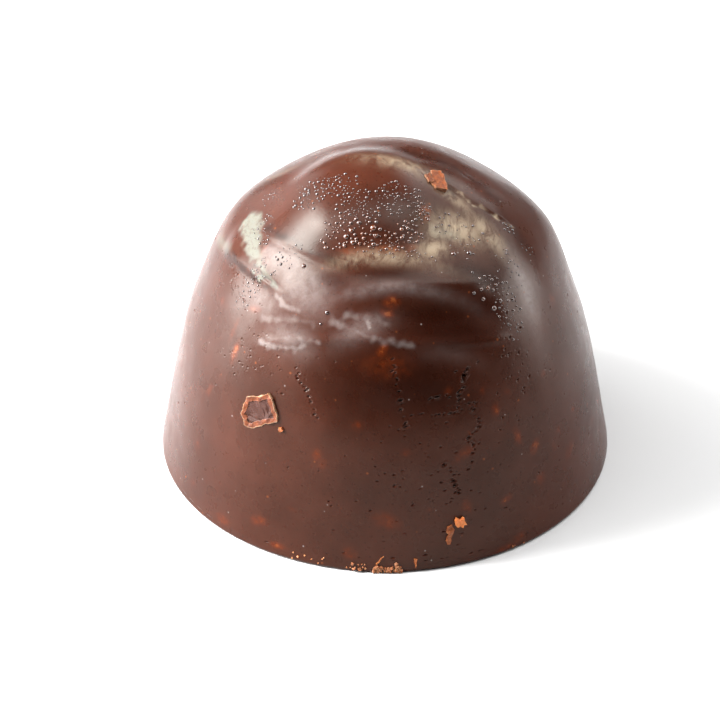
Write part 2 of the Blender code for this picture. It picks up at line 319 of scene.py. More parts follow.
def makePit(azimuth, height, width, draw):
    here, out = spot(azimuth, height=height)
    sideways = np.cross([0, 0, 1], out)
    sideways /= np.linalg.norm(sideways)
    tilt = draw.uniform(0.0, pitting["tilt"])
    upwards = np.cross(out, sideways)
    long = math.cos(tilt) * sideways + math.sin(tilt) * upwards
    return {"at": here, "out": out, "long": long, "short": np.cross(out, long),
            "halfLength": width / 2 * draw.uniform(*pitting["long"]),
            "halfBreadth": width / 2 * draw.uniform(*pitting["short"]),
            "depth": width * pitting["depth"] * draw.uniform(*pitting["depthShare"])}


def mostlySmall(draw, sizes):
    small, large = sizes
    return small + (large - small) * draw.random() ** 2


def makePits():
    draw = random.Random(pitting["seed"])
    aside, upwards = pitting["stray"]
    lowest, highest = pitting["patchHeights"]
    made = []
    for chain in pitting["chains"].values():
        places = np.array(chain["path"], float)
        for k in range(chain["count"]):
            place = (len(places) - 1) * (k + draw.uniform(0.2, 0.8)) / chain["count"]
            azimuth = np.interp(place, range(len(places)), places[:, 0]) + draw.uniform(-aside, aside)
            height = np.interp(place, range(len(places)), places[:, 1]) + draw.uniform(-upwards, upwards)
            made.append(makePit(azimuth, height, draw.uniform(*chain["width"]), draw))
    for patch in pitting["patches"].values():
        for _ in range(patch["count"]):
            azimuth = draw.gauss(patch["at"][0], patch["spread"][0])
            height = min(max(draw.gauss(patch["at"][1], patch["spread"][1]), lowest), highest)
            made.append(makePit(azimuth, height, mostlySmall(draw, patch["width"]), draw))
    around = pitting["around"]
    for _ in range(around["count"]):
        azimuth = draw.uniform(*around["azimuths"])
        height = draw.uniform(*around["heights"])
        made.append(makePit(azimuth, height, mostlySmall(draw, around["width"]), draw))
    return made


def pitDepths(points, pits):
    # how deep the pits press the surface in, in mm; each has a low rim round it
    rim = pitting["rim"]
    depths = np.zeros(len(points))
    for pit in pits:
        near = np.flatnonzero((np.abs(points - pit["at"]) < 2 * pit["halfLength"]).all(axis=1))
        away = points[near] - pit["at"]
        reach = np.hypot(away @ pit["long"] / pit["halfLength"], away @ pit["short"] / pit["halfBreadth"])
        bowl = np.clip(1 - reach ** 2, 0, 1) ** 1.5
        raised = rim["rise"] * np.exp(-((reach - rim["at"]) / rim["width"]) ** 2)
        depths[near] += pit["depth"] * (bowl - raised)
    return depths


bodyDetail = {
    "ballLevels": 6,
    "edgeCuts": 7,              # rings of edges round the base's edge
    "edgeMargin": 0.2,          # and how far past it they go
    "lowest": 0.5,              # nothing under this height is divided for the wall's sake
    "fineHeight": 12.5,         # above this the crown is divided once more
    "fineAzimuth": 100,         # and the wall is, as far round as this from the front
    "strokeReach": 1.3,         # near the swirl's strokes the surface is divided twice more
    "pitReach": 1.35,           # and in the pits three times more, out to this many half lengths
    "pitMargin": 0.12,
}


def nearPits(points, pits):
    found = np.zeros(len(points), bool)
    for pit in pits:
        reach = bodyDetail["pitReach"] * pit["halfLength"] + bodyDetail["pitMargin"]
        found |= np.linalg.norm(points - pit["at"], axis=1) < reach
    return found


def nearStrokes(points, normals):
    found = np.zeros(len(points), bool)
    lines = [(s, False) for s in strokes.values()] + [(s, True) for s in ripples.values()]
    for stroke, byHeight in lines:
        reach = max(bodyDetail["strokeReach"], 2 * stroke["width"]) if not byHeight else 3 * stroke["width"]
        away, _ = besideLine(points, normals, strokeLine(stroke["path"], byHeight), reach)
        found |= np.abs(away) < reach
    return found


def divideWhere(shape, isFine):
    faces = list(shape.faces)
    centres = np.array([face.calc_center_median() for face in faces])
    points, normals = onMould(centres)
    wanted = isFine(points, normals)
    edges = list({edge for face, fine in zip(faces, wanted) if fine for edge in face.edges})
    bmesh.ops.subdivide_edges(shape, edges=edges, cuts=1, use_grid_fill=True)
    for vertex in shape.verts:
        vertex.co.normalize()
    bmesh.ops.triangulate(shape, faces=[face for face in shape.faces if len(face.verts) > 3])


def chocolateBody(pits):
    shape = bmesh.new()
    bmesh.ops.create_icosphere(shape, subdivisions=bodyDetail["ballLevels"], radius=1.0)
    wallEnd = outlineDetail["crown"] + outlineDetail["wall"] - 2
    edgeStart = outline["arcs"][wallEnd] - bodyDetail["edgeMargin"]
    edgeEnd = outline["arcs"][wallEnd + outlineDetail["edge"] - 1] + bodyDetail["edgeMargin"]
    cuts = np.linspace(edgeStart, edgeEnd, bodyDetail["edgeCuts"])
    for polar in np.interp(cuts, outline["arcs"], outline["polar"]):
        everything = shape.verts[:] + shape.edges[:] + shape.faces[:]
        bmesh.ops.bisect_plane(
            shape, geom=everything, dist=1e-6, plane_co=(0, 0, math.cos(polar)), plane_no=(0, 0, 1))
    for vertex in shape.verts:
        vertex.co.normalize()
    bmesh.ops.triangulate(shape, faces=shape.faces)
    divideWhere(shape, lambda p, n: (p[:, 2] > bodyDetail["lowest"]) & (
        (p[:, 2] > bodyDetail["fineHeight"])
        | (np.abs(np.degrees(np.arctan2(p[:, 0], -p[:, 1]))) < bodyDetail["fineAzimuth"])
        | nearPits(p, pits)))
    divideWhere(shape, lambda p, n: (p[:, 2] > bodyDetail["lowest"]) & (
        nearPits(p, pits) | nearStrokes(p, n)))
    divideWhere(shape, lambda p, n: nearPits(p, pits))
    mesh = bpy.data.meshes.new("pralineBody")
    shape.to_mesh(mesh)
    shape.free()
    directions = np.empty(len(mesh.vertices) * 3)
    mesh.vertices.foreach_get("co", directions)
    points, normals = onMould(directions.reshape(-1, 3))
    rise = relief(points, normals) - pitDepths(points, pits)
    shaped = points + normals * rise[:, None]
    mesh.vertices.foreach_set("co", (shaped * mm).ravel())
    mesh.update()
    mesh.shade_smooth()
    return mesh, points


def paintAttribute(mesh, name, values):
    layer = mesh.attributes.new(name, "FLOAT", "POINT")
    layer.data.foreach_set("value", np.asarray(values, np.float32))


# Veils on the chocolate in the plan view: (centre x, centre y, half length, half breadth, turn, strength)
veils = {
    "bloom": {
        "behindMound": (1.1, -0.9, 2.3, 0.75, -12, 0.55),
        "besideFlake": (4.2, -2.5, 1.6, 0.45, -25, 0.50),
        "rightOfMound": (4.5, -4.7, 1.7, 0.9, 15, 0.95),
        "brightest": (4.1, -5.1, 0.9, 0.45, 10, 1.0),
        "besideMound": (3.2, -5.3, 0.8, 0.5, 20, 1.0),
        "upToStep": (6.4, -4.0, 1.5, 0.60, -32, 0.75),
        "underRight": (3.0, -6.5, 1.1, 0.5, 25, 0.85),
        "underMound": (0.1, -7.4, 2.9, 0.36, 0, 0.60),
        # painted sheen along the crown's outline at the back left
        "leftTop": (-6.8, 2.8, 1.1, 0.6, 10, 0.16),
    },
    # painted shade: these darken the mound, the foot of the step, the lip and the top of the wall where they
    # lie in shade
    "deep": {
        "mound": (0.2, -4.6, 2.6, 1.6, 0, 0.55),
        "moundSide": (-4.9, -5.6, 1.7, 0.7, -40, 0.60),
        "underVeil": (0.4, -8.3, 3.8, 0.50, 0, 0.85),
        "rightDark": (5.7, -7.1, 2.0, 0.8, 18, 0.90),
        "underLip": (3.6, -9.9, 3.6, 0.9, 10, 1.0),
        "lipLeft": (-3.0, -8.3, 1.8, 0.45, -20, 0.60),
        "wallTop": (1.5, -12.2, 6.0, 1.2, 0, 0.90),
        "rightShoulder": (6.4, -8.4, 1.9, 1.0, 35, 0.60),
        "stepFoot": (8.3, -2.9, 1.2, 0.6, -40, 0.50),
    },
    # pale smears, partly bloom and partly painted highlight; the shine entries are painted highlights
    "frostAndPaintedHighlight": {
        "leftShine": (-5.0, -8.2, 1.9, 0.9, -35, 0.50),
        "leftGrain": (-7.8, -7.3, 1.6, 0.5, -50, 0.40),
        "lowShine": (-6.2, -9.6, 1.7, 0.5, -33, 0.40),
        "smearBody": (-1.5, -10.5, 1.6, 0.45, 8, 0.40),
        "smearRight": (4.2, -10.9, 1.9, 0.30, 12, 0.12),
        "rightLobe": (8.2, 0.6, 3.6, 1.3, -50, 0.10),
        "rightPatch": (8.8, -5.7, 0.65, 1.4, 38, 0.90),
        "lipShine": (0.6, -8.9, 4.0, 0.3, 3, 0.38),
    },
}

# Pale and dark marks along paths of (azimuth, height): kind, half width at the start and at the
# end, how soft the edge is, strength, path
marks = {
    # painted highlight, partly cream bloom: the bright spot on the ridge facing the left lamps, and its tail
    "creamSpot": ("creamAndPaintedHighlight", 0.85, 0.40, 0.28, 1.0,
                  [(-78, 18.05), (-72.5, 17.9), (-65.3, 17.6), (-59.5, 17.4)]),
    "creamTail": ("creamAndPaintedHighlight", 0.22, 0.05, 0.16, 0.90,
                  [(-61.2, 17.4), (-54.7, 17.2), (-48.6, 17.0), (-43.4, 16.8)]),
    # the frost marks are partly pale smears and partly painted highlight along the shoulder and the ripples
    "shine": ("frostAndPaintedHighlight", 0.75, 0.70, 0.40, 0.45,
              [(-54.5, 17.9), (-46.6, 17.9), (-38.5, 17.75), (-31.5, 17.6)]),
    "greenMark": ("creamAndPaintedHighlight", 0.36, 0.25, 0.40, 0.50, [(-91, 15.7), (-83, 16.1), (-77, 16.5)]),
    "bloomHeart": ("creamAndPaintedHighlight", 0.30, 0.12, 0.50, 0.55, [(30, 19.9), (37, 19.7), (42, 19.5)]),
    # painted glint along the crease
    "creaseGlint": ("creamAndPaintedHighlight", 0.06, 0.03, 0.06, 1.0, [(-56.0, 16.8), (-52.0, 16.7), (-48.4, 16.6)]),
    "vee": ("frostAndPaintedHighlight", 0.15, 0.15, 0.22, 0.60, [(-42, 16.4), (-36.9, 16.1), (-31.4, 16.1)]),
    "band": ("frostAndPaintedHighlight", 0.20, 0.12, 0.35, 0.55, [(-44.4, 15.0), (-35.4, 15.4), (-25.6, 15.8)]),
    "streakUp": ("frostAndPaintedHighlight", 0.14, 0.06, 0.26, 0.60, [(-33.9, 14.5), (-28.1, 14.7), (-22.6, 14.8)]),
    "streakBody": ("frostAndPaintedHighlight", 0.25, 0.15, 0.35, 0.35, [(-39.5, 14.3), (-32.0, 14.5), (-24.3, 14.7)]),
    "streakLow": ("frostAndPaintedHighlight", 0.16, 0.12, 0.24, 0.75,
                  [(-42.1, 13.7), (-37.4, 13.8), (-31.1, 14.05), (-26.6, 14.4)]),
    "rightLow": ("frostAndPaintedHighlight", 0.22, 0.06, 0.34, 0.55,
                 [(-18.2, 16.1), (-12, 15.8), (-4, 15.4), (4.3, 15.2), (8.4, 15.0)]),
    "rightTop": ("frostAndPaintedHighlight", 0.22, 0.16, 0.40, 0.50, [(-13.6, 16.4), (-4.4, 16.35), (-0.3, 16.1)]),
    "rightSpot": ("frostAndPaintedHighlight", 0.10, 0.06, 0.10, 0.90, [(-6.5, 16.2), (-5.5, 15.95)]),
    # painted highlight along the edge of the swirl's step
    "stepEdgeHighlight": ("bloom", 0.05, 0.03, 0.10, 0.80,
                 [(67.6, 20.6), (65.8, 20.1), (69, 19.5), (71, 18.7), (73.4, 18.2)]),
    # the deep marks are painted shade along the back valley, the creases and the ring round the mound
    "valleyShade": ("deep", 0.20, 0.30, 0.60, 0.75,
                    [(150, 21.4), (125, 21.3), (108, 20.8), (93, 20.1), (85, 19.4)]),
    "creaseShade": ("deep", 0.30, 0.12, 0.25, 0.90,
                    [(-77, 16.1), (-67.4, 16.4), (-57.2, 16.55), (-48, 16.5)]),
    "innerShade": ("deep", 0.10, 0.10, 0.12, 0.90, [(-58, 17.05), (-51.7, 16.95), (-43.5, 16.8)]),
    "ringShade": ("deep", 0.25, 0.15, 0.40, 1.0,
                  [(-66, 18.6), (-57, 18.7), (-49, 18.85), (-40, 18.85), (-31, 18.75), (-18, 18.6)]),
}

markEdge = {"rough": 0.30, "size": 0.40}     # how ragged a mark's edge is

# Nut that shines through under the surface: (azimuth, height, half length, half breadth, turn, strength)
nutGlows = {
    "moundRight": (29.2, 20.5, 0.60, 0.38, 70, 1.0),
    "moundFoot": (1.0, 19.4, 1.30, 0.28, 0, 0.9),
    "moundLeft": (-15.0, 19.2, 0.90, 0.25, 0, 0.7),
    "moundEnd": (12.0, 19.4, 0.60, 0.25, 20, 0.8),
    "creamEdge": (-58.0, 17.75, 0.55, 0.14, 100, 0.8),
    "lipGlow": (2.3, 17.2, 0.50, 0.40, 30, 1.0),
    "lipGlowLow": (0.5, 16.7, 0.45, 0.26, -20, 0.9),
    "rimGlow": (-1.0, 14.8, 0.50, 0.30, 60, 0.9),
    "redZone": (0.8, 13.9, 1.60, 0.80, 0, 0.38),
    "leftGlow": (-51.0, 12.3, 0.75, 0.26, 85, 1.0),
    "leftTop": (-48.9, 15.2, 0.50, 0.26, 20, 0.75),
    "leftLine": (-54.5, 13.4, 0.80, 0.12, 85, 0.7),
    "rightUpper": (18.8, 12.1, 0.30, 0.22, 30, 0.6),
    "rightUpperSide": (29.3, 11.6, 0.25, 0.15, 70, 0.5),
    "rightDash": (32.7, 10.1, 0.42, 0.24, 75, 0.9),
    "rightStreak": (38.4, 7.8, 0.60, 0.24, 100, 0.8),
    "rightFlake": (43.8, 6.5, 0.48, 0.30, 50, 1.0),
    "rightSpeck": (53.6, 6.6, 0.25, 0.16, 80, 0.7),
    "rightLow": (33.1, 3.8, 0.40, 0.24, 20, 0.8),
    "rightFaint": (44.6, 4.1, 0.45, 0.35, 60, 0.5),
    "rightBlur": (57.7, 4.6, 0.60, 0.35, 45, 0.45),
    "footRight": (35.7, 0.7, 0.45, 0.30, 30, 0.7),
    "footRightLow": (31.4, 0.4, 0.55, 0.22, 0, 0.9),
    "midBlotch": (21.6, 7.8, 0.70, 0.35, 30, 0.6),
    "midRing": (5.8, 8.4, 0.28, 0.22, 0, 0.5),
    "midLeft": (-18.5, 7.9, 0.40, 0.22, 70, 0.9),
    "frontLeft": (-7.5, 10.2, 0.30, 0.20, 30, 0.7),
    "aboveChip": (21.4, 4.1, 0.60, 0.35, 100, 0.5),
    "lowFront": (0.7, 3.7, 0.85, 0.48, -25, 0.62),
    "lowLeft": (-33.4, 2.1, 0.55, 0.30, 20, 0.7),
    "lowLeftEnd": (-44.8, 0.9, 0.45, 0.30, 0, 0.7),
    "footLeft": (-27.6, 0.8, 0.50, 0.22, 0, 0.8),
    "footFront": (-8.5, 1.3, 0.45, 0.40, 0, 0.7),
}
nutScatter = {"seed": 5, "count": 50, "heights": (0.5, 14.5), "size": (0.15, 0.38),
              "breadth": (0.4, 0.9), "strength": (0.2, 0.65)}


def veilAmount(points, kind):
    amount = np.zeros(len(points))
    for x, y, length, breadth, turn, strength in veils[kind].values():
        angle = math.radians(turn)
        dx = points[:, 0] - x
        dy = points[:, 1] - y
        u = (dx * math.cos(angle) + dy * math.sin(angle)) / length
        v = (-dx * math.sin(angle) + dy * math.cos(angle)) / breadth
        upper = easeIn(points[:, 2] - 9, 3)
        amount = np.maximum(amount, strength * np.exp(-(u * u + v * v)) * upper)
    return amount


def markAmount(points, kind):
    amount = np.zeros(len(points))
    for markKind, startWidth, endWidth, edge, strength, path in marks.values():
        if markKind != kind:
            continue
        line = strokeLine(path, True)
        steps = np.append(0, np.cumsum(np.linalg.norm(np.diff(line, axis=0), axis=1)))
        middle = line.mean(axis=0)
        reach = steps[-1] / 2 + startWidth + 2 * edge + 1
        inside = np.flatnonzero(np.linalg.norm(points - middle, axis=1) < reach)
        over = np.full(len(inside), 1e9)
        for place, at in zip(steps, line):
            width = startWidth + (endWidth - startWidth) * place / steps[-1]
            over = np.minimum(over, np.linalg.norm(points[inside] - at, axis=1) - width)
        ragged = [noise.noise(Vector(p) / markEdge["size"]) for p in points[inside]]
        over += markEdge["rough"] * np.array(ragged)
        amount[inside] = np.maximum(amount[inside], strength * (1 - easeIn(over + edge, 2 * edge)))
    return amount


def nutAmount(points):
    draw = random.Random(nutScatter["seed"])
    glows = list(nutGlows.values())
    for _ in range(nutScatter["count"]):
        length = draw.uniform(*nutScatter["size"])
        glows.append((draw.uniform(-180, 180), draw.uniform(*nutScatter["heights"]), length,
                      length * draw.uniform(*nutScatter["breadth"]), draw.uniform(0, 180),
                      draw.uniform(*nutScatter["strength"])))
    amount = np.zeros(len(points))
    for azimuth, height, length, breadth, turn, strength in glows:
        here, out = spot(azimuth, height=height)
        near = np.flatnonzero(np.linalg.norm(points - here, axis=1) < 3 * length)
        sideways = np.cross([0, 0, 1], out)
        sideways /= np.linalg.norm(sideways)
        upwards = np.cross(out, sideways)
        angle = math.radians(turn)
        away = points[near] - here
        a = away @ sideways
        b = away @ upwards
        u = (a * math.cos(angle) + b * math.sin(angle)) / length
        v = (-a * math.sin(angle) + b * math.cos(angle)) / breadth
        amount[near] = np.maximum(amount[near], strength * np.exp(-(u * u + v * v) ** 1.5))
    return amount


# Nodes are set by one helper, so that each material reads as a list of steps
def node(tree, kind, inputs=None, **settings):
    made = tree.nodes.new(kind)
    for name, value in settings.items():
        setattr(made, name, value)
    for name, value in (inputs or {}).items():
        socket = made.inputs[name]
        if isinstance(value, bpy.types.NodeSocket):
            tree.links.new(value, socket)
        else:
            socket.default_value = value
    return made


def newMaterial(name):
    material = bpy.data.materials.new(name)
    material.use_nodes = True
    tree = material.node_tree
    tree.nodes.clear()
    place = node(tree, "ShaderNodeTexCoord")
    perMm = node(tree, "ShaderNodeMapping", {"Vector": place.outputs["Object"], "Scale": (1000, 1000, 1000)})
    return material, tree, perMm.outputs["Vector"]


def finishMaterial(tree, shader):
    output = node(tree, "ShaderNodeOutputMaterial")
    tree.links.new(shader.outputs["BSDF"], output.inputs["Surface"])


def mixColour(tree, factor, first, second):
    mix = node(tree, "ShaderNodeMix", data_type="RGBA")
    for socket, value in ((mix.inputs[0], factor), (mix.inputs[6], first), (mix.inputs[7], second)):
        if isinstance(value, bpy.types.NodeSocket):
            tree.links.new(value, socket)
        else:
            socket.default_value = value
    return mix.outputs[2]


def sums(tree, operation, first, second, clamp=False):
    made = node(tree, "ShaderNodeMath", {0: first, 1: second}, operation=operation, use_clamp=clamp)
    return made.outputs[0]


def remap(tree, value, low, high, outLow, outHigh):
    made = node(tree, "ShaderNodeMapRange", {
        "Value": value, "From Min": low, "From Max": high, "To Min": outLow, "To Max": outHigh})
    return made.outputs["Result"]


def noiseOf(tree, place, scale, detail=3.0, roughness=0.5, distortion=0.0):
    made = node(tree, "ShaderNodeTexNoise", {
        "Vector": place, "Scale": scale, "Detail": detail, "Roughness": roughness, "Distortion": distortion})
    return made.outputs["Fac"]


def attributeOf(tree, name):
    return node(tree, "ShaderNodeAttribute", attribute_name=name).outputs["Fac"]


def patchy(tree, name, pattern, low, high, outLow, outHigh):
    # a painted attribute, broken up by a pattern
    broken = remap(tree, pattern, low, high, outLow, outHigh)
    return sums(tree, "MULTIPLY", attributeOf(tree, name), broken, True)


chocolateFinish = {
    "dark": (0.034, 0.0090, 0.0046, 1),
    "light": (0.048, 0.0130, 0.0070, 1),
    # colour of the painted shade, used by the deep veils and marks and inside the pores
    "deep": (0.015, 0.0030, 0.0013, 1),
    "bloom": (0.330, 0.255, 0.175, 1),
    # pale colour that is partly bloom and partly painted highlight
    "frostAndPaintedHighlight": (0.210, 0.175, 0.165, 1),
    # pale cream colour: bloom, and the painted highlight of the cream spot and the crease glint
    "creamAndPaintedHighlight": (0.112, 0.108, 0.088, 1),
    "nutDeep": (0.090, 0.015, 0.003, 1),
    "nut": (0.200, 0.052, 0.014, 1),
    "specular": 0.14,
    "tint": (1.0, 0.97, 0.88, 1),
    "roughness": 0.29,
    "unevenness": 0.04,     # how far the roughness goes up and down
    "paleRoughness": 0.48,
    "pore": 3.4,            # pores for each mm
    "fleck": 1.3,           # pale flecks for each mm
}


def chocolateMaterial():
    look = chocolateFinish
    material, tree, place = newMaterial("satinChocolate")
    clouds = noiseOf(tree, place, 0.22, 3.0)
    grain = noiseOf(tree, place, 5.0, 4.0, 0.6)
    speckle = noiseOf(tree, place, 2.2, 3.0, 0.6)
    drawn = node(tree, "ShaderNodeMapping", {"Vector": place, "Scale": (1.0, 0.55, 0.60)}).outputs["Vector"]
    wisps = noiseOf(tree, drawn, 1.7, 7.0, 0.72, 0.6)
    smears = noiseOf(tree, place, 1.3, 7.0, 0.70, 0.3)
    base = mixColour(tree, remap(tree, clouds, 0.35, 0.65, 0, 1), look["dark"], look["light"])
    # painted shade from the deep attribute
    base = mixColour(tree, attributeOf(tree, "deep"), base, look["deep"])
    # pores: a bump, and painted shade that darkens the chocolate inside them
    pores = node(tree, "ShaderNodeTexVoronoi", {"Vector": place, "Scale": look["pore"], "Randomness": 1.0})
    poreDepth = remap(tree, pores.outputs["Distance"], 0.06, 0.24, 0, 1)
    poreChance = node(tree, "ShaderNodeSeparateColor", {"Color": pores.outputs["Color"]}).outputs["Red"]
    poreMask = sums(tree, "MULTIPLY", sums(tree, "SUBTRACT", 1.0, poreDepth),
                    remap(tree, poreChance, 0.35, 0.60, 0, 0.9))
    base = mixColour(tree, poreMask, base, look["deep"])
    nutMask = patchy(tree, "nut", speckle, 0.34, 0.62, 0.2, 0.9)
    nutColour = mixColour(tree, remap(tree, nutMask, 0.45, 0.95, 0, 1), look["nutDeep"], look["nut"])
    base = mixColour(tree, remap(tree, nutMask, 0.0, 0.6, 0, 1), base, nutColour)
    bloomMask = patchy(tree, "bloom", wisps, 0.36, 0.58, 0.15, 1.0)
    base = mixColour(tree, bloomMask, base, look["bloom"])
    # smears: partly bloom, partly painted highlight
    frostAndHighlightMask = patchy(tree, "frostAndPaintedHighlight", smears, 0.36, 0.60, 0.50, 1.0)
    base = mixColour(tree, frostAndHighlightMask, base, look["frostAndPaintedHighlight"])
    # cream bloom and painted highlight
    creamAndHighlightMask = patchy(tree, "creamAndPaintedHighlight", grain, 0.32, 0.50, 0.55, 1.0)
    base = mixColour(tree, creamAndHighlightMask, base, look["creamAndPaintedHighlight"])
    flecks = node(tree, "ShaderNodeTexVoronoi", {"Vector": place, "Scale": look["fleck"], "Randomness": 1.0})
    fleckChance = node(tree, "ShaderNodeSeparateColor", {"Color": flecks.outputs["Color"]}).outputs["Green"]
    fleckMask = sums(tree, "MULTIPLY", remap(tree, flecks.outputs["Distance"], 0.05, 0.09, 1, 0),
                     remap(tree, fleckChance, 0.80, 0.84, 0, 0.8))
    base = mixColour(tree, fleckMask, base, look["frostAndPaintedHighlight"])
    sparkMask = sums(tree, "MULTIPLY", remap(tree, flecks.outputs["Distance"], 0.06, 0.14, 1, 0),
                     remap(tree, fleckChance, 0.22, 0.18, 0, 0.5))
    base = mixColour(tree, sparkMask, base, look["nut"])
    pale = sums(tree, "MAXIMUM", creamAndHighlightMask, sums(tree, "MAXIMUM", bloomMask, frostAndHighlightMask))
    rough = remap(tree, noiseOf(tree, place, 0.9, 3.0), 0.3, 0.7,
                  look["roughness"] - look["unevenness"], look["roughness"] + look["unevenness"])
    rough = sums(tree, "ADD", rough, sums(tree, "MULTIPLY", pale, look["paleRoughness"] - look["roughness"]))
    height = sums(tree, "ADD", sums(tree, "MULTIPLY", grain, 0.5), sums(tree, "MULTIPLY", poreDepth, 0.25))
    bump = node(tree, "ShaderNodeBump", {"Strength": 0.35, "Distance": 0.00003, "Height": height})
    shader = node(tree, "ShaderNodeBsdfPrincipled", {
        "Base Color": base, "Roughness": rough, "IOR": 1.5, "Specular IOR Level": look["specular"],
        "Specular Tint": look["tint"],
        "Normal": bump.outputs["Normal"], "Subsurface Weight": 0.10,
        "Subsurface Radius": (1.0, 0.25, 0.12), "Subsurface Scale": 0.0005})
    finishMaterial(tree, shader)
    return material


nutFinish = {
    "deep": (0.070, 0.015, 0.005, 1),
    "light": (0.170, 0.045, 0.014, 1),
    "rim": (0.330, 0.200, 0.120, 1),
    "core": (0.046, 0.0135, 0.0080, 1),
    "fresh": (0.70, 0.22, 0.065, 1),
    "roughness": 0.5,
}


def nutMaterial():
    look = nutFinish
    material, tree, place = newMaterial("toastedNut")
    fibres = noiseOf(tree, place, 2.6, 5.0, 0.65)
    grain = noiseOf(tree, place, 9.0, 3.0, 0.6)
    base = mixColour(tree, remap(tree, fibres, 0.35, 0.65, 0, 1), look["deep"], look["light"])
    base = mixColour(tree, attributeOf(tree, "rim"), base, look["rim"])
    base = mixColour(tree, attributeOf(tree, "core"), base, look["core"])
    base = mixColour(tree, attributeOf(tree, "fresh"), base, look["fresh"])
    bump = node(tree, "ShaderNodeBump", {"Strength": 0.5, "Distance": 0.00004, "Height": grain})
    shader = node(tree, "ShaderNodeBsdfPrincipled", {
        "Base Color": base, "Roughness": look["roughness"], "Specular IOR Level": 0.2,
        "Normal": bump.outputs["Normal"], "Subsurface Weight": 0.2,
        "Subsurface Radius": (1.0, 0.4, 0.2), "Subsurface Scale": 0.0003})
    finishMaterial(tree, shader)
    return material


# warm: an orange that is partly the nut under a drop and partly a painted glow of light through it
beadFinish = {"colour": (0.026, 0.007, 0.004, 1), "warm": (0.110, 0.026, 0.004, 1), "roughness": 0.18}


def beadMaterial():
    look = beadFinish
    material, tree, _ = newMaterial("wetBead")
    base = mixColour(tree, attributeOf(tree, "warm"), look["colour"], look["warm"])
    shader = node(tree, "ShaderNodeBsdfPrincipled", {
        "Base Color": base, "Roughness": look["roughness"], "IOR": 1.8})
    finishMaterial(tree, shader)
    return material


def addPiece(name, mesh, material):
    mesh.materials.append(material)
    piece = bpy.data.objects.new(name, mesh)
    bpy.context.scene.collection.objects.link(piece)
    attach(piece, body)
    print("made", name, len(mesh.loops) - 2 * len(mesh.polygons), "triangles")
    return piece


# Pieces of nut that stand out, each an outline in mm on the surface seen from outside: across, up.
# The rim is pale and as wide as given, and a bowl is sunk inside it.
nutPieces = {
    "sideFlake": {"at": (-36.9, 9.6), "proud": 0.09, "rim": 0.26, "bowl": 0.05, "core": 1.0, "pale": 1.0,
                  "outline":
                  [(-1.14, 0.57), (-0.75, 0.80), (-0.29, 0.95), (0.14, 1.19), (0.46, 1.40), (0.77, 1.23),
                   (1.01, 0.82), (1.28, 0.41), (1.42, -0.21), (0.82, -0.57), (0.45, -0.79), (-0.05, -1.14),
                   (-0.50, -1.45), (-0.80, -1.45), (-1.08, -1.40), (-1.17, -1.02), (-1.42, -0.70),
                   (-1.34, -0.22), (-1.28, 0.19)]},
    "crownFlake": {"at": (65.0, 21.07), "proud": 0.17, "rim": 0.08, "bowl": 0.01, "fresh": 0.07, "pale": 0.35,
                   "outline":
                   [(0.53, 0.85), (0.98, 0.34), (0.49, -0.22), (0.13, -0.41), (-0.46, -0.84), (-0.85, -0.23),
                    (-0.76, 0.15), (-0.29, 0.46)]},
    "crownChip": {"at": (58.1, 21.20), "proud": 0.12, "rim": 0.06, "bowl": 0.01, "fresh": 0.04, "pale": 0.35,
                  "outline":
                  [(0.04, 0.40), (0.48, 0.32), (0.34, 0.07), (0.06, -0.29), (-0.24, -0.33), (-0.36, -0.11)]},
    "lowChip": {"at": (19.3, 3.17), "proud": 0.24, "fresh": 0.75, "outline":
                [(-0.36, 0.19), (-0.24, 0.36), (0.05, 0.21), (0.26, 0.30), (0.33, 0.0), (0.40, -0.27),
                 (0.22, -0.23), (0.14, -0.39), (-0.02, -0.18), (-0.19, -0.29), (-0.32, -0.08)]},
    "lowSliver": {"at": (16.46, 2.43), "proud": 0.12, "fresh": 0.18, "outline":
                  [(-0.11, 0.56), (0.16, 0.69), (0.33, 0.33), (0.17, -0.07), (0.0, -0.69), (-0.23, -0.68),
                   (-0.29, -0.42), (-0.07, 0.01), (-0.22, 0.22)]},
    "sideCrumb": {"at": (-29.5, 8.9), "proud": 0.12, "fresh": 0.15, "outline":
                  [(-0.2, 0.1), (0.05, 0.18), (0.2, 0.0), (0.06, -0.16), (-0.16, -0.1)]},
    "footSliver": {"at": (7.7, 0.68), "proud": 0.10, "fresh": 0.40, "outline":
                   [(-0.12, 0.26), (0.09, 0.28), (0.08, -0.20), (0.02, -0.32)]},
    "footFibre": {"at": (-1.0, 0.95), "proud": 0.05, "fresh": 0.30, "outline":
                  [(-0.28, -0.30), (-0.22, -0.33), (0.27, 0.28), (0.22, 0.33)]},
}
flakeShape = {"seed": 7, "sunk": 0.4, "edge": 0.05, "cuts": 2, "rough": 0.09, "roughSize": 0.30}

# Crumbs that cling to the foot: azimuths, heights, how many, their sizes, how fresh
footCrumbs = {
    "frontStrip": ((-2.6, 4.3), (0.10, 0.46), 46, (0.12, 0.34), 0.24),
    "stripEnd": ((2.6, 4.3), (0.30, 0.70), 9, (0.14, 0.30), 0.30),
    "middle": ((-9.6, -4.0), (0.12, 0.60), 14, (0.10, 0.26), 0.22),
    "left": ((-24.0, -14.5), (0.20, 0.80), 8, (0.08, 0.20), 0.60),
    "right": ((26.0, 38.0), (0.10, 0.50), 6, (0.08, 0.18), 0.15),
}
crumbShape = {"seed": 3, "sunk": 0.25, "rough": 0.30, "stretch": ((0.7, 1.3), (0.6, 1.1), (0.5, 0.9)),
              "fresh": (0.5, 1.2), "rim": (0.5, 2.0)}


def surfacePlace(tree, azimuth, height):
    # the finished surface over a place on the plain mould, and the way out of the mould there
    here, out = spot(azimuth, height=height)
    start = Vector(here * mm) + Vector(out) * (2 * mm)
    place, _, _, _ = tree.ray_cast(start, -Vector(out))
    return place, Vector(out)


